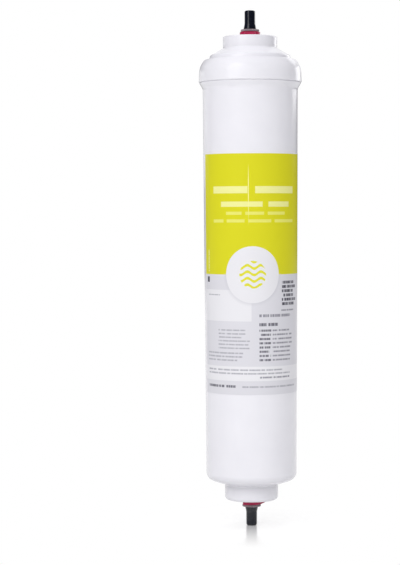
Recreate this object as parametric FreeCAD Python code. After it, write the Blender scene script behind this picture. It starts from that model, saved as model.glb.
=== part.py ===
import FreeCAD
import Part
import math
import os

# Overall, in millimetres, +Z up, origin halfway between the two neck faces
HOUSING_H = 277.3       # lower neck face to weld seam
LID_H = 30.6            # weld seam to upper neck face
WALL = 3.0              # moulded wall of housing and lid

# Housing
BODY_TOP_R = 31.6       # wall just under the weld flange
BODY_BOTTOM_R = 30.0    # wall at the bottom corner, the difference is the draft
BOTTOM_SLOPE = 19.0     # degrees, underside from the lower neck out to the wall
BOTTOM_CORNER_R = 5.5
LOWER_NECK_R = 17.7
LOWER_NECK_H = 10.1
LOWER_NECK_EDGE_R = 2.2
FLANGE_PROUD = 2.2      # weld flange beyond the wall
FLANGE_H = 3.8          # taper from the wall out to the flange
FLANGE_LAND = 0.5
TONGUE_H = 6.0          # tongue of the housing inside the lid
TONGUE_T = 2.3
TONGUE_GAP = 0.1
SEAM_BREAK = 0.4        # broken edges that make the seam line

# Lid
LIP_PROUD = 0.5         # lip beyond the weld flange
SKIRT_LEAN = 0.4        # draft of the skirt
SHOULDER_Z = 6.3        # above the seam, where the skirt starts to round over
SHOULDER_IN = 3.2       # skirt to ledge, radial
LEDGE_Z = 14.9          # above the seam
LEDGE_W = 3.3
STEP_H = 3.0
STEP_LEAN = 0.6
STEP_ROUND = 1.4
SHOULDER_HOLLOW = 0.75  # inside corner below the outside corner of the shoulder
SHOULDER_HOLLOW_R = 6.0 # inside round of the shoulder
LEDGE_T = 1.5           # wall under the ledge
STEP_T = 2.1            # wall behind the step
UPPER_NECK_R = 18.1
UPPER_NECK_H = 7.7
UPPER_NECK_EDGE_R = 0.7
NECK_ROOT_R = 0.8

# Stiffening ribs between port tube and wall
RIB_COUNT = 6
RIB_T = 1.8
RIB_REACH = 22.0

# Tube ports, the same at both ends, for 6.35 mm tube
TUBE_R = 3.175
SEAT_GAP = 0.05         # tube in its seat
SEAT_L = 6.0
PASSAGE_R = 2.15
STOP_T = 2.4            # web that stops the tube
RETAINER_WALL = 1.95    # at its wide inner bore
RETAINER_L = 7.3        # below the neck face
RETAINER_LIP_W = 0.5
RETAINER_LIP_T = 0.7
RETAINER_MOUTH = 2.6    # straight bore below the neck face
SEAT_FIT = 0.03         # pressed and nested round pieces, radial
WASHER_HOLD = 0.75      # washer rim held under the retainer
WASHER_T = 1.2
SEAL_SECTION = 2.5
SEAL_SQUEEZE = 0.14     # seal bore inside the tube surface
SEAL_PLAY = 0.1         # seal groove longer than the seal

# Collet and its teeth
COLLET_WALL = 1.35
COLLET_BORE_GAP = 0.125 # collet bore round the tube
COLLET_FIT = 0.1        # collet sliding in the retainer
COLLET_END_GAP = 0.4    # collet end above the washer
COLLET_FLANGE_W = 1.45
COLLET_FLANGE_T = 1.2
FLUTE_COUNT = 36
FLUTE_DEPTH = 0.4
BARB_RISE = 0.7
BARB_SLOPE = 30.0       # degrees from the axis
BARB_GAP = 0.33
BARB_LEAD = 0.7
BARB_ROOM = 0.2         # retainer bore round the barbs
SLIT_COUNT = 4
SLIT_W = 1.0
SLIT_TOP = 0.4          # slits end this far below the neck face
TOOTH_T = 0.35
TOOTH_UP = 1.8          # tooth underside above the collet end
TOOTH_SPAN = 46.0       # degrees
TOOTH_ROOT = 1.1        # depth of a tooth in its finger
TOOTH_TIP_GAP = 0.03
TOOTH_FIT = 0.03

# Locking clip
CLIP_T = 2.4
CLIP_SEAT_GAP = 0.1     # clip over the retainer lip
CLIP_PLAY = 0.4         # clip under the collet flange
CLIP_GAP = 0.3          # slot round the collet
CLIP_WEB = 1.85
CLIP_LEG = 5.8          # axis to the leg tips
CLIP_TAB_L = 2.4        # tab beyond the bow
CLIP_TAB_W = 7.4
CLIP_TAB_ROUND = 1.4
CLIP_TAB_TIP = 0.8      # thickness at the tab's end
CLIP_TIP_ROUND = 0.8
CLIP_EDGE = 0.3

# Dust plug
PLUG_L = 12.7           # outside the collet
PLUG_BASE_R = 4.2
PLUG_WAIST_R = 3.6
PLUG_TIP_R = 3.55
PLUG_SKIRT_H = 3.6
PLUG_SKIRT_LAND = 0.7
PLUG_END_ROUND = 1.1
STEM_GAP = 0.05         # stem inside the tooth tips
STEM_END_GAP = 0.4      # stem end above the collet end

# Filter element
ELEMENT_GAP = 0.75      # end caps to the narrow end of the housing
BLOCK_BORE_R = 6.0
FLEECE_T = 1.0
LAYER_GAP = 0.05
CAP_WALL = 1.5
CAP_FLOOR = 2.2
CAP_SKIRT = 9.0
SOCKET_R = 7.0          # socket of the housing for the spigot
SOCKET_L = 10.5
SPIGOT_L = 9.0
SPIGOT_FIT = 0.1
SPIGOT_BORE_R = 3.6
SPIGOT_RING_SECTION = 1.64
SPIGOT_RING_D = 4.6     # ring middle below the cap
SPIGOT_RING_GAP = 0.03  # ring inside the socket
SPIGOT_GROOVE_GAP = 0.06
LUG_COUNT = 4
LUG_H = 5.0
LUG_T = 2.0
LUG_IN = 5.0
LUG_OUT = 16.0

# Label film
LABEL_FROM = 72.2       # above the lower neck face
LABEL_H = 157.8
LABEL_T = 0.07
LABEL_GLUE = 0.05
LABEL_LEFT = 72.0       # degrees from the front round to its left end
LABEL_BARE = 20.0       # bare wall between its two ends

# Modelling
OVERCUT = 1.0           # cutters run past the faces that they cut
NEAR = 0.01             # edges are told apart by more than this
POINT = 1e-6            # ends closer than this are one point

# Radii of the shells
FLANGE_R = BODY_TOP_R + FLANGE_PROUD
LIP_R = FLANGE_R + LIP_PROUD
SHOULDER_R = LIP_R - SKIRT_LEAN
LEDGE_R = SHOULDER_R - SHOULDER_IN
STEP_R = LEDGE_R - LEDGE_W
TONGUE_IN = BODY_TOP_R - WALL
TONGUE_OUT = TONGUE_IN + TONGUE_T

# Radii of the ports
SEAT_R = TUBE_R + SEAT_GAP
COLLET_BORE_R = TUBE_R + COLLET_BORE_GAP
COLLET_R = COLLET_BORE_R + COLLET_WALL
COLLET_FLANGE_R = COLLET_R + COLLET_FLANGE_W
TOOTH_TIP_R = TUBE_R + TOOTH_TIP_GAP
BARB_R = COLLET_R + BARB_RISE
RETAINER_BORE_R = COLLET_R + COLLET_FIT
RETAINER_WIDE_R = BARB_R + BARB_ROOM
RETAINER_R = RETAINER_WIDE_R + RETAINER_WALL
RETAINER_LIP_R = RETAINER_R + RETAINER_LIP_W
WASHER_R = RETAINER_WIDE_R + WASHER_HOLD
SEAL_IN_R = TUBE_R - SEAL_SQUEEZE
SEAL_OUT_R = SEAL_IN_R + SEAL_SECTION
PORT_TUBE_R = RETAINER_R + WALL
RIB_FROM_R = PORT_TUBE_R - WALL / 2

# Radii of the filter element
CAP_R = min(BODY_TOP_R, BODY_BOTTOM_R) - WALL - ELEMENT_GAP
FLEECE_R = CAP_R - CAP_WALL - LAYER_GAP
BLOCK_R = FLEECE_R - FLEECE_T - LAYER_GAP

# Heights above the lower neck face, and depths below a neck face
LENGTH = HOUSING_H + LID_H
FLANGE_BASE = HOUSING_H - FLANGE_LAND - FLANGE_H
LABEL_TO = LABEL_FROM + LABEL_H
COLLET_L = RETAINER_L - COLLET_END_GAP
TOOTH_D = COLLET_L - TOOTH_UP
WASHER_END = RETAINER_L + WASHER_T
SEAL_END = WASHER_END + SEAL_SECTION + SEAL_PLAY
SEAT_END = SEAL_END + SEAT_L
STOP_END = SEAT_END + STOP_T
CLIP_FROM = RETAINER_LIP_T + CLIP_SEAT_GAP
FLANGE_FROM = CLIP_FROM + CLIP_T + CLIP_PLAY
FLANGE_TO = FLANGE_FROM + COLLET_FLANGE_T
BARB_L = BARB_RISE / math.tan(math.radians(BARB_SLOPE))
BARB_FROM = RETAINER_MOUTH + BARB_GAP
CAP_SEAT = STOP_END + SOCKET_L
CAP_TOP = LENGTH - STOP_END - LUG_H
Z_AXIS = FreeCAD.Vector(0, 0, 1)
ORIGIN = FreeCAD.Vector(0, 0, 0)
FRONT = -90.0           # degrees round Z from +X


def corner(before, at, after, radius):
    """Start, middle and end of the round at one corner of an outline."""
    to_before = (before - at).normalize()
    to_after = (after - at).normalize()
    half = to_before.getAngle(to_after) / 2
    reach = radius / math.tan(half)
    middle = (to_before + to_after).normalize() * (radius / math.sin(half) - radius)
    return at + to_before * reach, at + middle, at + to_after * reach


def turned(outline, sweep=360.0):
    """Solid turned round Z from (radius, height) or (radius, height, round) points."""
    spots = [FreeCAD.Vector(p[0], 0, p[1]) for p in outline]
    edges = []
    ends = []
    for i, p in enumerate(outline):
        if len(p) == 3:
            before = spots[i - 1]
            after = spots[(i + 1) % len(spots)]
            first, middle, last = corner(before, spots[i], after, p[2])
            edges.append(Part.Arc(first, middle, last).toShape())
            ends.append((first, last))
        else:
            edges.append(None)
            ends.append((spots[i], spots[i]))
    chain = []
    for i, edge in enumerate(edges):
        if edge:
            chain.append(edge)
        start = ends[i][1]
        stop = ends[(i + 1) % len(ends)][0]
        if start.distanceToPoint(stop) > POINT:
            chain.append(Part.makeLine(start, stop))
    return Part.Face(Part.Wire(chain)).revolve(ORIGIN, Z_AXIS, sweep)


def rod(radius, low, high):
    return Part.makeCylinder(radius, high - low, FreeCAD.Vector(0, 0, low))


def tube(outer, inner, low, high):
    return rod(outer, low, high).cut(rod(inner, low, high))


def ring(inner, section, middle):
    """Round-section ring."""
    return Part.makeTorus(inner + section / 2, section / 2, FreeCAD.Vector(0, 0, middle))


def spokes(count, thick, inner, outer, low, high):
    """Radial plates spread evenly round Z."""
    plates = []
    for i in range(count):
        corner_at = FreeCAD.Vector(inner, -thick / 2, low)
        plate = Part.makeBox(outer - inner, thick, high - low, corner_at)
        plate.rotate(ORIGIN, Z_AXIS, 360.0 * i / count)
        plates.append(plate)
    return plates


def body_r(height):
    """Outside radius of the drafted wall."""
    low = bottom_corner()
    share = (height - low) / (FLANGE_BASE - low)
    return BODY_BOTTOM_R + share * (BODY_TOP_R - BODY_BOTTOM_R)


def bottom_corner():
    """Height of the corner between underside and wall."""
    slope = math.tan(math.radians(BOTTOM_SLOPE))
    return LOWER_NECK_H + (BODY_BOTTOM_R - LOWER_NECK_R) * slope


def port_cavity():
    """Stepped bore of a port, neck face at 0, inward is down."""
    return turned([
        (0, OVERCUT),
        (RETAINER_R + SEAT_FIT, OVERCUT),
        (RETAINER_R + SEAT_FIT, -RETAINER_L),
        (WASHER_R + SEAT_FIT, -RETAINER_L),
        (WASHER_R + SEAT_FIT, -WASHER_END),
        (SEAL_OUT_R + SEAT_FIT, -WASHER_END),
        (SEAL_OUT_R + SEAT_FIT, -SEAL_END),
        (SEAT_R, -SEAL_END),
        (SEAT_R, -SEAT_END),
        (PASSAGE_R, -SEAT_END),
        (PASSAGE_R, -STOP_END - OVERCUT),
        (0, -STOP_END - OVERCUT),
    ])


def inlet_end(shape):
    shape.translate(FreeCAD.Vector(0, 0, LENGTH / 2))
    return shape


def outlet_end(shape):
    shape.rotate(ORIGIN, FreeCAD.Vector(1, 0, 0), 180)
    shape.translate(FreeCAD.Vector(0, 0, -LENGTH / 2))
    return shape


def from_lower_face(shape):
    shape.translate(FreeCAD.Vector(0, 0, -LENGTH / 2))
    return shape


def from_seam(shape):
    shape.translate(FreeCAD.Vector(0, 0, HOUSING_H - LENGTH / 2))
    return shape


def housing():
    low = bottom_corner()
    slope = math.radians(BOTTOM_SLOPE)
    lift = WALL / math.cos(slope) - WALL * math.tan(slope)
    outside = turned([
        (0, 0),
        (LOWER_NECK_R, 0, LOWER_NECK_EDGE_R),
        (LOWER_NECK_R, LOWER_NECK_H, NECK_ROOT_R),
        (BODY_BOTTOM_R, low, BOTTOM_CORNER_R),
        (BODY_TOP_R, FLANGE_BASE, FLANGE_H),
        (FLANGE_R, HOUSING_H - FLANGE_LAND),
        (FLANGE_R, HOUSING_H - SEAM_BREAK),
        (FLANGE_R - SEAM_BREAK, HOUSING_H),
        (TONGUE_OUT, HOUSING_H),
        (TONGUE_OUT, HOUSING_H + TONGUE_H, SEAM_BREAK),
        (0, HOUSING_H + TONGUE_H),
    ])
    cavity = turned([
        (0, WALL),
        (LOWER_NECK_R - WALL, WALL),
        (LOWER_NECK_R - WALL, LOWER_NECK_H + lift),
        (BODY_BOTTOM_R - WALL, low + lift, BOTTOM_CORNER_R - WALL),
        (TONGUE_IN, FLANGE_BASE),
        (TONGUE_IN, HOUSING_H + TONGUE_H + OVERCUT),
        (0, HOUSING_H + TONGUE_H + OVERCUT),
    ])
    ribs = spokes(RIB_COUNT, RIB_T, RIB_FROM_R, RIB_REACH, 0, CAP_SEAT)
    ribs = [rib.common(cavity) for rib in ribs]
    core = rod(PORT_TUBE_R, 0, CAP_SEAT)
    bore = port_cavity()
    bore.rotate(ORIGIN, FreeCAD.Vector(1, 0, 0), 180)
    socket = rod(SOCKET_R, STOP_END, CAP_SEAT + OVERCUT)
    shell = outside.cut(cavity).fuse([core] + ribs)
    return from_lower_face(shell.cut([bore, socket]).removeSplitter())


def shoulder():
    """Height of the sharp corner and radius of the arc from skirt to ledge."""
    rise = LEDGE_Z - SHOULDER_Z
    radius = (SHOULDER_IN ** 2 + rise ** 2) / (2 * SHOULDER_IN)
    half_turn = math.asin(rise / radius) / 2
    return SHOULDER_Z + radius * math.tan(half_turn), radius


def lid():
    corner_z, radius = shoulder()
    skirt_in = TONGUE_OUT + TONGUE_GAP
    neck_root = LID_H - UPPER_NECK_H
    neck_in = UPPER_NECK_R - WALL
    outside = turned([
        (0, 0),
        (LIP_R - SEAM_BREAK, 0),
        (LIP_R, SEAM_BREAK),
        (SHOULDER_R, corner_z, radius),
        (LEDGE_R, LEDGE_Z),
        (STEP_R, LEDGE_Z, NECK_ROOT_R),
        (STEP_R - STEP_LEAN, LEDGE_Z + STEP_H, STEP_ROUND),
        (UPPER_NECK_R, neck_root, NECK_ROOT_R),
        (UPPER_NECK_R, LID_H, UPPER_NECK_EDGE_R),
        (0, LID_H),
    ])
    cavity = turned([
        (0, -OVERCUT),
        (skirt_in, -OVERCUT),
        (skirt_in, corner_z - SHOULDER_HOLLOW, SHOULDER_HOLLOW_R),
        (STEP_R - STEP_T, LEDGE_Z - LEDGE_T),
        (neck_in, neck_root - WALL),
        (neck_in, LID_H - WALL),
        (0, LID_H - WALL),
    ])
    bore = port_cavity()
    bore.translate(FreeCAD.Vector(0, 0, LID_H))
    core = rod(PORT_TUBE_R, LID_H - STOP_END, LID_H)
    ribs = spokes(RIB_COUNT, RIB_T, RIB_FROM_R, RIB_REACH, LID_H - STOP_END, LID_H - WALL / 2)
    ribs = [rib.common(cavity) for rib in ribs]
    shell = outside.cut(cavity).fuse([core] + ribs)
    return from_seam(shell.cut(bore).removeSplitter())


def label():
    """Film round the wall from its left end, by way of the front, the right and the back."""
    low_r = body_r(LABEL_FROM) + LABEL_GLUE
    high_r = body_r(LABEL_TO) + LABEL_GLUE
    film = turned([
        (low_r, LABEL_FROM),
        (low_r + LABEL_T, LABEL_FROM),
        (high_r + LABEL_T, LABEL_TO),
        (high_r, LABEL_TO),
    ], 360.0 - math.degrees(LABEL_BARE / high_r))
    film.rotate(ORIGIN, Z_AXIS, FRONT - LABEL_LEFT)
    return from_lower_face(film)


def retainer():
    cone = (RETAINER_WIDE_R - RETAINER_BORE_R) / math.tan(math.radians(BARB_SLOPE))
    return turned([
        (RETAINER_BORE_R, RETAINER_LIP_T),
        (RETAINER_LIP_R, RETAINER_LIP_T),
        (RETAINER_LIP_R, 0),
        (RETAINER_R, 0),
        (RETAINER_R, -RETAINER_L),
        (RETAINER_WIDE_R, -RETAINER_L),
        (RETAINER_WIDE_R, -RETAINER_MOUTH - cone),
        (RETAINER_BORE_R, -RETAINER_MOUTH),
    ])


def washer():
    return tube(WASHER_R, COLLET_BORE_R, -WASHER_END, -RETAINER_L)


def tube_seal():
    middle = -WASHER_END - (SEAL_SECTION + SEAL_PLAY) / 2
    return ring(SEAL_IN_R, SEAL_SECTION, middle)


def sector(inner, outer, low, high, span):
    """Piece of a flat ring, centred on +X."""
    piece = tube(outer, inner, low, high)
    half = span / 2
    reach = 2 * outer
    points = [ORIGIN]
    for turn in (-half, 0, half):
        a = math.radians(turn)
        points.append(FreeCAD.Vector(reach * math.cos(a), reach * math.sin(a), 0))
    points.append(ORIGIN)
    wedge = Part.Face(Part.makePolygon(points)).extrude(FreeCAD.Vector(0, 0, high - low))
    wedge.translate(FreeCAD.Vector(0, 0, low))
    return piece.common(wedge)


def blades(fit):
    """Steel teeth, or with a fit their pockets in the fingers."""
    pieces = []
    for i in range(SLIT_COUNT):
        span = TOOTH_SPAN + math.degrees(2 * fit / COLLET_R)
        tip = TOOTH_TIP_R - fit
        root = COLLET_BORE_R + TOOTH_ROOT + fit
        piece = sector(tip, root, -TOOTH_D - fit, TOOTH_T - TOOTH_D + fit, span)
        piece.rotate(ORIGIN, Z_AXIS, 360.0 * (i + 0.5) / SLIT_COUNT)
        pieces.append(piece)
    return pieces


def flute_outline():
    points = []
    for i in range(2 * FLUTE_COUNT + 1):
        a = math.pi * i / FLUTE_COUNT
        r = COLLET_FLANGE_R - FLUTE_DEPTH * (i % 2)
        points.append(FreeCAD.Vector(r * math.cos(a), r * math.sin(a), FLANGE_FROM))
    return Part.Face(Part.makePolygon(points))


def collet():
    flange = flute_outline().extrude(FreeCAD.Vector(0, 0, COLLET_FLANGE_T))
    sleeve = turned([
        (0, FLANGE_TO),
        (COLLET_R, FLANGE_TO),
        (COLLET_R, -BARB_FROM),
        (BARB_R, -BARB_FROM - BARB_L),
        (BARB_R, BARB_LEAD - COLLET_L),
        (BARB_R - BARB_LEAD, -COLLET_L),
        (0, -COLLET_L),
    ])
    low = -COLLET_L - OVERCUT
    slits = spokes(SLIT_COUNT, SLIT_W, 0, BARB_R + OVERCUT, low, -SLIT_TOP)
    bore = rod(COLLET_BORE_R, low, FLANGE_TO + OVERCUT)
    return flange.fuse(sleeve).cut([bore] + slits + blades(TOOTH_FIT)).removeSplitter()


def collet_teeth():
    return Part.makeCompound(blades(0))


def upright(shape):
    """Edges that run along Z."""
    return [e for e in shape.Edges if abs(e.Vertexes[0].Z - e.Vertexes[-1].Z) > NEAR]


def tab_slant(bow, end):
    """Wedge over the tab, from where the tab leaves the bow down to its thin end."""
    half = CLIP_TAB_W / 2
    start = math.sqrt(bow ** 2 - half ** 2)
    past = end + OVERCUT
    low = CLIP_T - (CLIP_T - CLIP_TAB_TIP) * (past - start) / (end - start)
    points = [(start, CLIP_T), (past, CLIP_T), (past, low), (start, CLIP_T)]
    side = Part.makePolygon([FreeCAD.Vector(x, -half, z) for x, z in points])
    return Part.Face(side).extrude(FreeCAD.Vector(0, CLIP_TAB_W, 0))


def clip():
    """Horseshoe with its tab toward +X and its mouth toward -X."""
    slot = COLLET_R + CLIP_GAP
    outer = slot + CLIP_WEB
    leg = Part.makeBox(CLIP_LEG, 2 * outer, CLIP_T, FreeCAD.Vector(-CLIP_LEG, -outer, 0))
    tab_end = outer + CLIP_TAB_L
    tab_at = FreeCAD.Vector(0, -CLIP_TAB_W / 2, 0)
    tab = Part.makeBox(tab_end, CLIP_TAB_W, CLIP_T, tab_at)
    tab = tab.makeFillet(CLIP_TAB_ROUND, [e for e in upright(tab) if e.CenterOfMass.x > NEAR])
    mouth_l = CLIP_LEG + OVERCUT
    mouth = Part.makeBox(mouth_l, 2 * slot, CLIP_T, FreeCAD.Vector(-mouth_l, -slot, 0))
    whole = rod(outer, 0, CLIP_T).fuse([leg, tab])
    whole = whole.cut([rod(slot, 0, CLIP_T), mouth]).removeSplitter()
    tips = [e for e in upright(whole) if e.CenterOfMass.x < NEAR - CLIP_LEG]
    whole = whole.makeFillet(CLIP_TIP_ROUND, tips)
    rims = [e for e in whole.Edges if abs(e.Vertexes[0].Z - e.Vertexes[-1].Z) < NEAR]
    whole = whole.makeChamfer(CLIP_EDGE, rims).cut(tab_slant(outer, tab_end))
    whole.translate(FreeCAD.Vector(0, 0, CLIP_FROM))
    return whole


def inlet_clip():
    """The upper clip has its tab to the front."""
    piece = clip()
    piece.rotate(ORIGIN, Z_AXIS, FRONT)
    return piece


def plug():
    stem = TOOTH_TIP_R - STEM_GAP
    stem_end = STEM_END_GAP - COLLET_L
    return turned([
        (0, stem_end),
        (stem, stem_end, NECK_ROOT_R),
        (stem, FLANGE_TO),
        (PLUG_BASE_R, FLANGE_TO),
        (PLUG_BASE_R, FLANGE_TO + PLUG_SKIRT_LAND),
        (PLUG_WAIST_R, FLANGE_TO + PLUG_SKIRT_H, PLUG_SKIRT_H),
        (PLUG_TIP_R, FLANGE_TO + PLUG_L, PLUG_END_ROUND),
        (0, FLANGE_TO + PLUG_L),
    ])


def carbon_block():
    low = CAP_SEAT + CAP_FLOOR
    return from_lower_face(tube(BLOCK_R, BLOCK_BORE_R, low, CAP_TOP - CAP_FLOOR))


def fleece_wrap():
    low = CAP_SEAT + CAP_FLOOR
    return from_lower_face(tube(FLEECE_R, FLEECE_R - FLEECE_T, low, CAP_TOP - CAP_FLOOR))


def lower_end_cap():
    spigot = SOCKET_R - SPIGOT_FIT
    cup = rod(CAP_R, CAP_SEAT, CAP_SEAT + CAP_SKIRT)
    room = rod(CAP_R - CAP_WALL, CAP_SEAT + CAP_FLOOR, CAP_SEAT + CAP_SKIRT + OVERCUT)
    stub = rod(spigot, CAP_SEAT - SPIGOT_L, CAP_SEAT + CAP_FLOOR / 2)
    way = rod(SPIGOT_BORE_R, CAP_SEAT - SPIGOT_L - OVERCUT, CAP_SEAT + CAP_FLOOR + OVERCUT)
    half = SPIGOT_RING_SECTION / 2 + SPIGOT_GROOVE_GAP
    middle = CAP_SEAT - SPIGOT_RING_D
    floor = SOCKET_R - SPIGOT_RING_SECTION - SPIGOT_GROOVE_GAP
    groove = tube(SOCKET_R + OVERCUT, floor, middle - half, middle + half)
    return from_lower_face(cup.fuse(stub).cut([room, way, groove]).removeSplitter())


def spigot_seal():
    inner = SOCKET_R - SPIGOT_RING_GAP - SPIGOT_RING_SECTION
    return from_lower_face(ring(inner, SPIGOT_RING_SECTION, CAP_SEAT - SPIGOT_RING_D))


def upper_end_cap():
    cup = rod(CAP_R, CAP_TOP - CAP_SKIRT, CAP_TOP)
    room = rod(CAP_R - CAP_WALL, CAP_TOP - CAP_SKIRT - OVERCUT, CAP_TOP - CAP_FLOOR)
    lugs = spokes(LUG_COUNT, LUG_T, LUG_IN, LUG_OUT, CAP_TOP - CAP_FLOOR / 2, CAP_TOP + LUG_H)
    return from_lower_face(cup.cut(room).fuse(lugs).removeSplitter())


PIECES = {
    "housing": housing(),
    "lid": lid(),
    "label": label(),
    "carbon_block": carbon_block(),
    "fleece_wrap": fleece_wrap(),
    "upper_end_cap": upper_end_cap(),
    "lower_end_cap": lower_end_cap(),
    "spigot_seal": spigot_seal(),
    "inlet_clip": inlet_end(inlet_clip()),
    "outlet_clip": outlet_end(clip()),
}
for port, put in (("inlet", inlet_end), ("outlet", outlet_end)):
    PIECES[port + "_retainer"] = put(retainer())
    PIECES[port + "_washer"] = put(washer())
    PIECES[port + "_tube_seal"] = put(tube_seal())
    PIECES[port + "_collet"] = put(collet())
    PIECES[port + "_collet_teeth"] = put(collet_teeth())
    PIECES[port + "_plug"] = put(plug())

os.makedirs("parts", exist_ok=True)
for name, shape in PIECES.items():
    shape.exportStep("parts/" + name + ".step")
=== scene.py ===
import math

import bmesh
import bpy
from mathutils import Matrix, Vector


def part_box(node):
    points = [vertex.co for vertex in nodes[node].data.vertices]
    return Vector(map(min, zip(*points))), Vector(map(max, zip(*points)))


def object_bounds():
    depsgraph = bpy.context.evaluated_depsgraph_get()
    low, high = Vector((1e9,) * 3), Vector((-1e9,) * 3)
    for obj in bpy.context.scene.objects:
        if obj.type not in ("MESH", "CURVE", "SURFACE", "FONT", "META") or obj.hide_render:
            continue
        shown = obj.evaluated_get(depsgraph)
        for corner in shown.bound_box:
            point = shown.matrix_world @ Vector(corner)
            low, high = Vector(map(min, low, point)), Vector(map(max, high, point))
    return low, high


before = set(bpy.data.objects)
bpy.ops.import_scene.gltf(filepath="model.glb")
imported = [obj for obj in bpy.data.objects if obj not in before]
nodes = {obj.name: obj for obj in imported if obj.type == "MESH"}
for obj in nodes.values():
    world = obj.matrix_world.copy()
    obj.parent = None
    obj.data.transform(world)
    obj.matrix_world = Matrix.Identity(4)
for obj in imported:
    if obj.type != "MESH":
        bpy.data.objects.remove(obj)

MM = 0.001
WHITE = (1.0, 1.0, 1.0, 1.0)
BLACK = (0.0, 0.0, 0.0, 1.0)
cad_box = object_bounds()
foot = cad_box[0][2]     # height of the lower plug's end

# Camera, from the photograph in its 400 x 565 frame
PHOTO_H = 565
PHOTO_W = 400
FOCAL_PX = 1780          # from how much the round rims bow
HORIZON_Y = 213          # row where a rim shows as a straight line
AXIS_X = 250.6           # column of the cartridge's axis, halfway up
LEAN = 0.2               # degrees that the photograph leans
FOOT_Y = 525.0           # row of the lower plug's end
MM_PER_PX = 0.667        # at the axis

# Moulded pieces: two colours, lowest and highest roughness, IOR, and in mm the patch, grain and grain depth
PLASTICS = {             # the grain is coarser than a real mould's, so that it shows
    # polished tool: satin gloss that shows the lamps as soft streaks
    "moulded_polypropylene_white": (("#EDECF1", "#E6E5EB"), (0.17, 0.23), 1.49, 14.0, 0.5, 0.004),
    # plain tool and no pigment: milky and dull
    "moulded_polypropylene_natural": (("#E2E1DA", "#D6D5CD"), (0.39, 0.51), 1.49, 10.0, 0.6, 0.01),
    # eroded tool: waxy, dull grey
    "moulded_acetal_grey": (("#9C9095", "#8B8085"), (0.36, 0.48), 1.48, 4.0, 0.4, 0.006),
    # dyed through: soft gloss on a deep red
    "moulded_acetal_red": (("#B51A4C", "#A51644"), (0.29, 0.39), 1.48, 4.0, 0.4, 0.006),
    # polished tool: black with a narrow streak of light
    "moulded_polyethylene_black": (("#0C0E18", "#121522"), (0.14, 0.2), 1.51, 3.0, 0.4, 0.01),
    # cured in the mould: black and matt
    "moulded_nitrile_rubber": (("#141416", "#1D1D20"), (0.52, 0.68), 1.52, 2.0, 0.3, 0.01),
}
FLOW_DETAIL = 4.0        # octaves of noise in the patches
GRAIN_DETAIL = 2.0       # and in fine grain and rolling lines
FIBRE_DETAIL = 6.0       # and in fibres

# Filter element and teeth: two colours, lowest and highest roughness, and sizes in millimetres
CARBON = ("#17171A", "#34343A")
CARBON_ROUGH = (0.55, 0.9)
CARBON_IOR = 1.6
CARBON_GRAIN = 0.6       # coarser than real, so that the grains show
CARBON_PITS = 0.2        # depth between the grains
FLEECE = ("#DAD9D4", "#F4F4F0")
FLEECE_ROUGH = (0.75, 0.95)
FLEECE_FIBRE = 0.8       # coarser than real, so that the fibres show
FLEECE_CURL = 3.0        # how far the fibres wander
FLEECE_NAP = 0.25        # depth between the fibres
FLEECE_SHEEN = 0.3
FLEECE_SHEEN_ROUGH = 0.5
STEEL = ("#B9BABC", "#D8D9DA")
STEEL_ROUGH = (0.22, 0.4)
STEEL_LINE = 1.2         # length of a rolling line
STEEL_FINE = 20.0        # lines are this much narrower than long

# Label film and print in millimetres: across is the arc from the front to the right, up is the height
FILM_IOR = 1.49
FILM_SPECULAR = 0.15     # the varnish dulls the film
FILM_ROUGH = (0.2, 0.28)
FILM_PATCH = 9.0         # patches of more and less gloss
FILM_GRAIN = 0.9         # slight waves in the film
FILM_DEPTH = 0.003       # and their depth
label_low, label_high = (end[2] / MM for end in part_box("label"))
label_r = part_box("label")[1][0] / MM
BARE_FILM = "#E9E8EC"
TOP_MARGIN = 0.65        # bare film above the lime
LIME = "#D7D328"
LIME_H = 79.6            # lime field, from the label's top
GREY_FIELD = "#D9D8DE"   # below the lime
FIELD_OVER = 1.0         # the grey's reach past the label's end
WHITE_FIELD = "#E6E5E9"  # strip and panel
DISC = "#E5E4E8"
DISC_ACROSS = 1.3        # disc centre, on the lower edge of the lime
DISC_R = 18.5
DISC_EDGE = "#C8C7CE"    # soft edge printed round the disc on the grey
DISC_SHADE = 2.4         # its width each way
DISC_SHADE_TOP = 1.0     # height over which it fades out at the lime
WAVES = "#DCDA3C"        # emblem of wave lines in the disc
WAVE_R = 9.0             # circle that ends the lines
WAVE_L = 9.0             # length of one wave
WAVE_RISE = 1.1          # from its middle to its top
WAVE_PITCH = 4.2         # from line to line
WAVE_T = 1.8             # height of a line
STRIP_FROM = 9.0         # white strip, from the label's bottom
STRIP_H = 9.4
PANEL_LEFT = -40.0       # white panel beside the disc
PANEL_RIGHT = 0.4
PANEL_FROM = 47.8        # from the label's bottom
PANEL_H = 20.4
MARK_LEFT = -36.3        # small dark mark under the lime's left end
MARK_RIGHT = -33.4
MARK_LOW = -8.7
MARK_HIGH = -5.1
CREASE_HIGHLIGHT = "#F6F2A0"       # painted highlight along an upright crease in the film
CREASE_ACROSS = -1.4
CREASE_W = 0.25          # half its width
CREASE_LOW = 28.0
CREASE_HIGH = 69.0
CREASE_FADE = 12.0       # at its upper end
lime_low = label_high - LIME_H

# Headings as plain bars: middle height, bar height, ink, and the left and right ends of the bars
HEADINGS = (
    (51.7, 4.6, "pale_ink", ((-28.0, -2.0), (3.0, 34.0))),
    (42.3, 3.4, "pale_ink", ((-21.0, 8.0), (12.0, 29.0))),
    (36.4, 2.0, "thin_ink", ((-17.0, -6.0), (-3.5, 9.0), (11.5, 25.0))),
    (31.4, 2.0, "thin_ink", ((-28.0, -19.0), (-16.5, -4.0), (-1.5, 14.0), (16.5, 34.0))),
)

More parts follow.
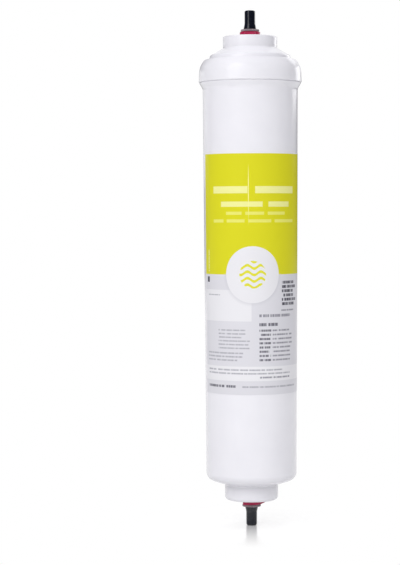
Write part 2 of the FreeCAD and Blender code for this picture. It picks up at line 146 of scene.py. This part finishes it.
# Greeked print: left, right, top row's upper edge, rows, row pitch, bar height, word length, ink
WORDS = (
    (22.5, 39.0, -7.4, 6, 2.8, 1.9, 6.0, "black_ink"),
    (22.0, 38.0, -26.0, 1, 2.0, 1.0, 4.0, "mid_ink"),
    (5.6, 38.0, -28.6, 1, 3.4, 1.8, 8.0, "mid_ink"),
    (5.6, 24.5, -34.4, 1, 3.4, 2.0, 11.0, "dark_ink"),
    (5.6, 14.5, -38.6, 8, 2.74, 1.4, 6.0, "dark_ink"),
    (15.0, 34.5, -38.6, 8, 2.74, 1.1, 5.0, "mid_ink"),
    (-35.5, -19.5, -16.0, 1, 1.8, 0.7, 4.0, "grey_ink"),
    (-24.0, 0.0, -38.6, 6, 2.34, 0.9, 5.0, "grey_ink"),
    (-35.6, -4.0, -53.6, 3, 2.3, 1.0, 5.0, "grey_ink"),
    (-35.0, 34.0, -64.5, 2, 2.3, 1.0, 6.0, "grey_ink"),
    (6.0, 38.0, -69.3, 1, 2.4, 1.1, 5.0, "mid_ink"),
    (-35.6, -7.0, -74.8, 1, 3.2, 1.6, 7.0, "dark_ink"),
    (-6.0, 38.0, -75.0, 1, 3.2, 1.1, 6.0, "grey_ink"),
)
UPRIGHT_WORDS = (-2.0, 15.5, 34.9, 1, 1.6, 1.2, 4.0, "pale_ink")  # reads upward at the left end
RAGGED = 0.3             # rows end early by up to this share
GAP_SHARE = 0.18         # of a word, before the next one
WORD_SPREAD = 1.6        # how uneven the words are
ROW_SHIFT = 40.0         # no two rows start alike
BLOCK_STEP = 5.0         # between one block's row numbers and the next one's
LETTER_RATE = 2.0        # strokes in a stretch as long as the bar is high
LETTER_EDGES = (0.35, 0.55)  # noise where a stroke starts and where it is whole
LETTER_FADE = 0.5        # ink between the letters
INKS = {
    "pale_ink": "#EDEC9C",
    "thin_ink": "#E6E472",
    "black_ink": "#4B4A55",
    "dark_ink": "#6A6973",
    "mid_ink": "#8C8B95",
    "grey_ink": "#A9A8B1",
}

# Floor and light, in metres and watts
FLOOR = "#F4F4F4"
FLOOR_ROUGH = 0.2
FLOOR_IOR = 1.5
FLOOR_R = 4.0
FLOOR_SIDES = 64
FLOOR_DROP = 0.00002     # under the plug's end
NEAR_R = 0.012           # the floor shows its shadow and reflection up to here
FAR_R = 0.08             # and is plain white from here
FLOOR_GLOW = 0.15        # brings the near floor up to white
LAMPS = (                # name, place, width, height, power, shows in reflections
    ("key", (-0.94, -1.29, 0.85), 0.9, 1.2, 7.7, True),
    ("fill", (-0.18, -1.75, 0.8), 1.2, 1.0, 10.1, False),
    ("low_card", (0.14, -0.26, -0.155), 0.3, 0.04, 0.05, False),
    ("left_rim", (-0.9, 1.2, 0.2), 1.2, 0.24, 0.8, True),
    ("right_rim", (1.04, 1.08, 0.34), 0.7, 0.3, 1.7, True),
    ("high_rim", (0.95, 1.05, 0.9), 0.6, 0.5, 1.2, True),
)
CEILING = "#F7F7F9"      # the room's light from above
CEILING_RISE = 0.5       # upward share of the direction where it is full; it is nothing at the horizon
ROOM = "#313135"         # what gloss shows of the room beside the white backdrop
BACKDROP_EDGE = 0.45     # backward share of the direction where the backdrop starts
BACKDROP_FULL = 0.62     # and where it is whole
BACKDROP_LEFT = -0.3     # sideways share where it starts
BACKDROP_RIGHT = -0.15   # and where it is whole
BACKDROP_LOW = 0.07      # upward share where it starts
BACKDROP_HIGH = 0.1      # and where it is whole


def srgb(code):
    """Linear colour of a six-digit sRGB code."""
    shades = [int(code[i:i + 2], 16) / 255 for i in (1, 3, 5)]
    return (*[s / 12.92 if s <= 0.04045 else ((s + 0.055) / 1.055) ** 2.4 for s in shades], 1.0)


def add(tree, kind, inputs, **settings):
    """One node, its settings, and its inputs as values or as the sockets they come from."""
    node = tree.nodes.new(kind)
    for name, value in settings.items():
        setattr(node, name, value)
    for socket, value in inputs.items():
        if isinstance(value, bpy.types.NodeSocket):
            tree.links.new(value, node.inputs[socket])
        else:
            node.inputs[socket].default_value = value
    return node.outputs


def start(name, **sockets):
    """A new material's tree, its shader and its object coordinates, with the shader's plain sockets set."""
    material = bpy.data.materials.new(name)
    material.use_nodes = True
    tree = material.node_tree
    shader = tree.nodes["Principled BSDF"]
    for socket, value in sockets.items():
        shader.inputs[socket.replace("_", " ")].default_value = value
    place = add(tree, "ShaderNodeTexCoord", {})["Object"]
    return material, tree, shader, place


def surface(tree, shader, pattern, rough, colours=None, height=None, depth=0.0):
    """Gloss that follows a pattern, and where given a colour that does too and a relief, its depth in mm."""
    gloss = add(tree, "ShaderNodeMapRange", {0: pattern, 3: rough[0], 4: rough[1]})[0]
    tree.links.new(gloss, shader.inputs["Roughness"])
    if colours is not None:
        tint = {0: pattern, 6: srgb(colours[0]), 7: srgb(colours[1])}
        tint = add(tree, "ShaderNodeMix", tint, data_type="RGBA")[2]
        tree.links.new(tint, shader.inputs["Base Color"])
    if height is not None:
        lift = add(tree, "ShaderNodeBump", {"Height": height, "Distance": depth * MM})[0]
        tree.links.new(lift, shader.inputs["Normal"])


def grained(tree, shader, place, rough, patch, grain, depth, colours=None):
    """Gloss, and where given colour, in soft patches under a fine grain in relief, sizes in millimetres."""
    flow = {"Vector": place, "Scale": 1 / (patch * MM), "Detail": FLOW_DETAIL}
    flow = add(tree, "ShaderNodeTexNoise", flow)["Fac"]
    grit = {"Vector": place, "Scale": 1 / (grain * MM), "Detail": GRAIN_DETAIL}
    grit = add(tree, "ShaderNodeTexNoise", grit)["Fac"]
    surface(tree, shader, flow, rough, colours, grit, depth)


def moulded(name):
    """Moulded plastic: a mould grain that softens the gloss, and faint patches from the flow."""
    colours, rough, refraction, patch, grain, depth = PLASTICS[name]
    material, tree, shader, place = start(name, IOR=refraction)
    grained(tree, shader, place, rough, patch, grain, depth, colours)
    return material


def pressed_carbon():
    """Carbon grains sintered to a block: near black, dull, with the odd bright grain."""
    material, tree, shader, place = start("pressed_carbon", IOR=CARBON_IOR)
    grains = add(tree, "ShaderNodeTexVoronoi", {"Vector": place, "Scale": 1 / (CARBON_GRAIN * MM)})
    surface(tree, shader, grains["Color"], CARBON_ROUGH, CARBON, grains["Distance"], CARBON_PITS)
    return material


def melt_blown_fleece():
    """Fleece of fine blown fibres: white, matt, soft at its edge."""
    sheen = {"Sheen_Weight": FLEECE_SHEEN, "Sheen_Roughness": FLEECE_SHEEN_ROUGH}
    material, tree, shader, place = start("melt_blown_fleece", **sheen)
    fibres = {
        "Vector": place,
        "Scale": 1 / (FLEECE_FIBRE * MM),
        "Detail": FIBRE_DETAIL,
        "Distortion": FLEECE_CURL,
    }
    fibres = add(tree, "ShaderNodeTexNoise", fibres)["Fac"]
    surface(tree, shader, fibres, FLEECE_ROUGH, FLEECE, fibres, FLEECE_NAP)
    return material


def stamped_spring_steel():
    """Stainless strip, stamped: bright, with fine rolling lines."""
    material, tree, shader, place = start("stamped_spring_steel", Metallic=1.0)
    rolled = add(tree, "ShaderNodeMapping", {"Vector": place, "Scale": (1.0, STEEL_FINE, 1.0)})[0]
    lines = {"Vector": rolled, "Scale": 1 / (STEEL_LINE * MM), "Detail": GRAIN_DETAIL}
    lines = add(tree, "ShaderNodeTexNoise", lines)["Fac"]
    surface(tree, shader, lines, STEEL_ROUGH, STEEL)
    return material


def product(tree, *masks):
    """One mask where all of the masks hold."""
    whole = masks[0]
    for mask in masks[1:]:
        whole = add(tree, "ShaderNodeMath", {0: whole, 1: mask}, operation="MULTIPLY")[0]
    return whole


def field(tree, spans):
    """Mask of a plain field, from (coordinate, from, to) spans."""
    edges = []
    for value, low, high in spans:
        inside = {0: value, 1: (low + high) / 2, 2: (high - low) / 2}
        edges.append(add(tree, "ShaderNodeMath", inside, operation="COMPARE")[0])
    return product(tree, *edges)


def greeked(tree, across, up, left, right, top, rows, pitch, tall, word, seed):
    """Mask of print too small to read: rows of word-long bars, ragged at the right."""
    down = add(tree, "ShaderNodeMath", {0: top, 1: up}, operation="SUBTRACT")[0]
    row = add(tree, "ShaderNodeMath", {0: down, 1: pitch}, operation="DIVIDE")[0]
    index = add(tree, "ShaderNodeMath", {0: row}, operation="FLOOR")[0]
    inside = add(tree, "ShaderNodeMath", {0: row}, operation="FRACT")[0]
    cast = add(tree, "ShaderNodeMath", {0: index, 1: seed}, operation="ADD")[0]
    chance = add(tree, "ShaderNodeTexWhiteNoise", {"W": cast}, noise_dimensions="1D")["Value"]
    cut = {0: chance, 1: (left - right) * RAGGED, 2: right}
    end = add(tree, "ShaderNodeMath", cut, operation="MULTIPLY_ADD")[0]
    started = add(tree, "ShaderNodeMath", {0: across, 1: left}, operation="GREATER_THAN")[0]
    ended = add(tree, "ShaderNodeMath", {0: across, 1: end}, operation="LESS_THAN")[0]
    shift = add(tree, "ShaderNodeMath", {0: chance, 1: ROW_SHIFT}, operation="MULTIPLY")[0]
    along = {0: across, 1: 1 / word, 2: shift}
    along = add(tree, "ShaderNodeMath", along, operation="MULTIPLY_ADD")[0]
    bend = {"W": along, "Scale": 1.0, "Detail": 0.0}
    bend = add(tree, "ShaderNodeTexNoise", bend, noise_dimensions="1D")["Fac"]
    along = {0: bend, 1: WORD_SPREAD, 2: along}
    along = add(tree, "ShaderNodeMath", along, operation="MULTIPLY_ADD")[0]
    along = add(tree, "ShaderNodeMath", {0: along}, operation="FRACT")[0]
    words = add(tree, "ShaderNodeMath", {0: along, 1: GAP_SHARE}, operation="GREATER_THAN")[0]
    spell = {0: across, 1: 1 / tall, 2: shift}
    spell = add(tree, "ShaderNodeMath", spell, operation="MULTIPLY_ADD")[0]
    spell = {"W": spell, "Scale": LETTER_RATE, "Detail": 0.0}
    spell = add(tree, "ShaderNodeTexNoise", spell, noise_dimensions="1D")["Fac"]
    letters = {0: spell, 1: LETTER_EDGES[0], 2: LETTER_EDGES[1], 3: LETTER_FADE}
    letters = add(tree, "ShaderNodeMapRange", letters)[0]
    half = tall / pitch / 2
    bars = field(tree, [(row, 0, rows), (inside, 0.5 - half, 0.5 + half)])
    return product(tree, bars, started, ended, words, letters)


def waves(tree, across, up, reach):
    """Mask of the wave lines in the middle of the disc, ended by a circle."""
    phase = add(tree, "ShaderNodeMath", {0: across, 1: 2 * math.pi / WAVE_L}, operation="MULTIPLY")[0]
    swing = add(tree, "ShaderNodeMath", {0: phase}, operation="SINE")[0]
    level = add(tree, "ShaderNodeMath", {0: swing, 1: WAVE_RISE, 2: up}, operation="MULTIPLY_ADD")[0]
    away = add(tree, "ShaderNodeMath", {0: level, 1: lime_low}, operation="SUBTRACT")[0]
    nearest = add(tree, "ShaderNodeMath", {0: away, 1: WAVE_PITCH}, operation="SNAP")[0]
    inside = add(tree, "ShaderNodeMath", {0: away, 1: nearest}, operation="SUBTRACT")[0]
    return field(tree, [(inside, 0, WAVE_T), (reach, -WAVE_R, WAVE_R)])


def printed_film():
    """Polypropylene label film, printed and varnished: plain fields of ink under a satin gloss, and a
    painted highlight along a crease.
    """
    varnish = {"IOR": FILM_IOR, "Specular_IOR_Level": FILM_SPECULAR}
    material, tree, shader, place = start("printed_polypropylene_film", **varnish)
    grained(tree, shader, place, FILM_ROUGH, FILM_PATCH, FILM_GRAIN, FILM_DEPTH)
    metric = add(tree, "ShaderNodeVectorMath", {0: place, "Scale": 1 / MM}, operation="SCALE")[0]
    x, y, up = add(tree, "ShaderNodeSeparateXYZ", {0: metric})
    front = add(tree, "ShaderNodeMath", {0: y, 1: -1.0}, operation="MULTIPLY")[0]
    turn = add(tree, "ShaderNodeMath", {0: x, 1: front}, operation="ARCTAN2")[0]
    across = add(tree, "ShaderNodeMath", {0: turn, 1: label_r}, operation="MULTIPLY")[0]
    flat = add(tree, "ShaderNodeCombineXYZ", {0: across, 1: up})[0]
    back = add(tree, "ShaderNodeMath", {0: across, 1: -1.0}, operation="MULTIPLY")[0]
    centre = (DISC_ACROSS, lime_low, 0.0)
    reach = add(tree, "ShaderNodeVectorMath", {0: flat, 1: centre}, operation="DISTANCE")["Value"]
    halo = {0: reach, 1: DISC_R + DISC_SHADE, 2: DISC_R - DISC_SHADE}
    halo = add(tree, "ShaderNodeMapRange", halo)[0]
    below = {0: up, 1: lime_low + DISC_SHADE_TOP, 2: lime_low}
    below = add(tree, "ShaderNodeMapRange", below)[0]
    disc = add(tree, "ShaderNodeMath", {0: reach, 1: DISC_R}, operation="LESS_THAN")[0]
    strip = label_low + STRIP_FROM
    panel = label_low + PANEL_FROM
    layers = [
        (field(tree, [(up, lime_low, label_high - TOP_MARGIN)]), LIME),
        (field(tree, [(up, label_low - FIELD_OVER, lime_low)]), GREY_FIELD),
        (field(tree, [(up, strip, strip + STRIP_H)]), WHITE_FIELD),
        (field(tree, [(across, PANEL_LEFT, PANEL_RIGHT), (up, panel, panel + PANEL_H)]), WHITE_FIELD),
        (product(tree, halo, below), DISC_EDGE),
        (disc, DISC),
        (waves(tree, across, up, reach), WAVES),
        (field(tree, [(across, MARK_LEFT, MARK_RIGHT), (up, MARK_LOW, MARK_HIGH)]), INKS["black_ink"]),
    ]
    for middle, tall, ink, bars in HEADINGS:
        for left, right in bars:
            bar = [(across, left, right), (up, middle - tall / 2, middle + tall / 2)]
            layers.append((field(tree, bar), INKS[ink]))
    for block, (*spot, ink) in enumerate(WORDS):
        layers.append((greeked(tree, across, up, *spot, block * BLOCK_STEP), INKS[ink]))
    *spot, ink = UPRIGHT_WORDS
    layers.append((greeked(tree, up, back, *spot, 0.0), INKS[ink]))
    # painted highlight along the crease: a pale line in the film's colour that fades in and out along its
    # height
    fade_in = {0: up, 1: CREASE_LOW, 2: (CREASE_LOW + CREASE_HIGH) / 2}
    fade_in = add(tree, "ShaderNodeMapRange", fade_in)[0]
    fade_out = {0: up, 1: CREASE_HIGH, 2: CREASE_HIGH - CREASE_FADE}
    fade_out = add(tree, "ShaderNodeMapRange", fade_out)[0]
    painted_shine = field(tree, [(across, CREASE_ACROSS - CREASE_W, CREASE_ACROSS + CREASE_W)])
    layers.append((product(tree, painted_shine, fade_in, fade_out), CREASE_HIGHLIGHT))
    ink = srgb(BARE_FILM)
    for mask, colour in layers:
        ink = add(tree, "ShaderNodeMix", {0: mask, 6: ink, 7: srgb(colour)}, data_type="RGBA")[2]
    tree.links.new(ink, shader.inputs["Base Color"])
    return material


def dress():
    """Every node gets the finish of its own material."""
    white = moulded("moulded_polypropylene_white")
    caps = moulded("moulded_polypropylene_natural")
    grey = moulded("moulded_acetal_grey")
    red = moulded("moulded_acetal_red")
    black = moulded("moulded_polyethylene_black")
    rubber = moulded("moulded_nitrile_rubber")
    finishes = {
        "housing": white,
        "lid": white,
        "label": printed_film(),
        "carbon_block": pressed_carbon(),
        "fleece_wrap": melt_blown_fleece(),
        "upper_end_cap": caps,
        "lower_end_cap": caps,
        "spigot_seal": rubber,
    }
    teeth = stamped_spring_steel()
    for port in ("inlet", "outlet"):
        finishes[port + "_retainer"] = white
        finishes[port + "_washer"] = caps
        finishes[port + "_tube_seal"] = rubber
        finishes[port + "_collet"] = grey
        finishes[port + "_collet_teeth"] = teeth
        finishes[port + "_clip"] = red
        finishes[port + "_plug"] = black
    for name, finish in finishes.items():
        for slot in nodes[name].material_slots:
            slot.material = finish


def studio_floor():
    """Smooth pale sheet with soft shadow and blurred reflection, white further out, clear from below."""
    paint = {"Base_Color": srgb(FLOOR), "Roughness": FLOOR_ROUGH, "IOR": FLOOR_IOR, "Emission_Color": WHITE}
    varnish = {"Coat_Weight": 1.0, "Coat_Roughness": FLOOR_ROUGH}
    material, tree, shader, place = start("studio_floor", **paint, **varnish)
    eye = add(tree, "ShaderNodeLightPath", {})
    away = {0: place, 1: (0.0, 0.0, foot)}
    away = add(tree, "ShaderNodeVectorMath", away, operation="DISTANCE")["Value"]
    far = add(tree, "ShaderNodeMapRange", {0: away, 1: NEAR_R, 2: FAR_R})[0]
    seen = {0: eye["Is Camera Ray"], 1: eye["Is Glossy Ray"]}
    seen = add(tree, "ShaderNodeMath", seen, operation="MAXIMUM")[0]
    seen = {0: seen, 1: eye["Is Transmission Ray"]}
    seen = add(tree, "ShaderNodeMath", seen, operation="MAXIMUM")[0]
    glow = add(tree, "ShaderNodeMath", {0: seen, 1: FLOOR_GLOW}, operation="MULTIPLY")[0]
    tree.links.new(glow, shader.inputs["Emission Strength"])
    plain = add(tree, "ShaderNodeEmission", {"Color": WHITE, "Strength": 1.0})[0]
    faded = product(tree, seen, far)
    sheet = add(tree, "ShaderNodeMixShader", {0: faded, 1: shader.outputs[0], 2: plain})[0]
    under = add(tree, "ShaderNodeNewGeometry", {})["Backfacing"]
    under = product(tree, under, eye["Is Camera Ray"])
    clear = add(tree, "ShaderNodeBsdfTransparent", {})[0]
    sheet = add(tree, "ShaderNodeMixShader", {0: under, 1: sheet, 2: clear})[0]
    tree.links.new(sheet, tree.nodes["Material Output"].inputs["Surface"])
    shape = bmesh.new()
    bmesh.ops.create_circle(shape, cap_ends=True, segments=FLOOR_SIDES, radius=FLOOR_R)
    bmesh.ops.translate(shape, verts=shape.verts, vec=(0.0, 0.0, foot - FLOOR_DROP))
    mesh = bpy.data.meshes.new("floor")
    shape.to_mesh(mesh)
    shape.free()
    mesh.materials.append(material)
    floor = bpy.data.objects.new("floor", mesh)
    bpy.context.scene.collection.objects.link(floor)


def studio_light():
    """Pale ceiling, a dark room with a white backdrop for gloss, lamps at the left, in front and behind."""
    world = bpy.data.worlds.new("studio")
    bpy.context.scene.world = world
    world.use_nodes = True
    tree = world.node_tree
    eye = add(tree, "ShaderNodeLightPath", {})
    way = add(tree, "ShaderNodeTexCoord", {})["Generated"]
    side, back, rise = add(tree, "ShaderNodeSeparateXYZ", {0: way})
    height = add(tree, "ShaderNodeMapRange", {0: rise, 1: 0.0, 2: CEILING_RISE})[0]
    ambient = {0: height, 6: BLACK, 7: srgb(CEILING)}
    ambient = add(tree, "ShaderNodeMix", ambient, data_type="RGBA")[2]
    behind = add(tree, "ShaderNodeMapRange", {0: back, 1: BACKDROP_EDGE, 2: BACKDROP_FULL})[0]
    above = add(tree, "ShaderNodeMapRange", {0: rise, 1: BACKDROP_LOW, 2: BACKDROP_HIGH})[0]
    beside = add(tree, "ShaderNodeMapRange", {0: side, 1: BACKDROP_LEFT, 2: BACKDROP_RIGHT})[0]
    backdrop = product(tree, behind, above, beside)
    room = add(tree, "ShaderNodeMix", {0: backdrop, 6: srgb(ROOM), 7: WHITE}, data_type="RGBA")[2]
    shade = {0: eye["Is Glossy Ray"], 6: ambient, 7: room}
    shade = add(tree, "ShaderNodeMix", shade, data_type="RGBA")[2]
    seen = {0: eye["Is Camera Ray"], 1: eye["Is Transmission Ray"]}
    seen = add(tree, "ShaderNodeMath", seen, operation="MAXIMUM")[0]
    shade = add(tree, "ShaderNodeMix", {0: seen, 6: shade, 7: WHITE}, data_type="RGBA")[2]
    tree.links.new(shade, tree.nodes["Background"].inputs["Color"])
    for name, place, wide, tall, power, mirrored in LAMPS:
        lamp = bpy.data.lights.new(name, "AREA")
        lamp.shape = "RECTANGLE"
        lamp.size = wide
        lamp.size_y = tall
        lamp.energy = power
        holder = bpy.data.objects.new(name, lamp)
        holder.location = place
        holder.rotation_euler = (-holder.location).to_track_quat("-Z", "Y").to_euler()
        holder.visible_glossy = mirrored
        bpy.context.scene.collection.objects.link(holder)


def photo_camera():
    """Camera at the photograph's viewing angle: level, so that upright edges don't converge, and shifted."""
    lens = bpy.data.cameras.new("camera")
    lens.sensor_fit = "VERTICAL"
    lens.lens = FOCAL_PX / PHOTO_H * lens.sensor_height
    lens.shift_y = (HORIZON_Y - PHOTO_H / 2) / PHOTO_H
    camera = bpy.data.objects.new("camera", lens)
    height = foot + (FOOT_Y - HORIZON_Y) * MM_PER_PX * MM
    camera.location = (0.0, -FOCAL_PX * MM_PER_PX * MM, height)
    left = math.atan((AXIS_X - PHOTO_W / 2) / FOCAL_PX)
    camera.rotation_euler = (math.pi / 2, math.radians(LEAN), left)
    bpy.context.scene.collection.objects.link(camera)
    bpy.context.scene.camera = camera


dress()
studio_floor()
studio_light()
photo_camera()
bpy.context.scene.view_settings.view_transform = "Standard"
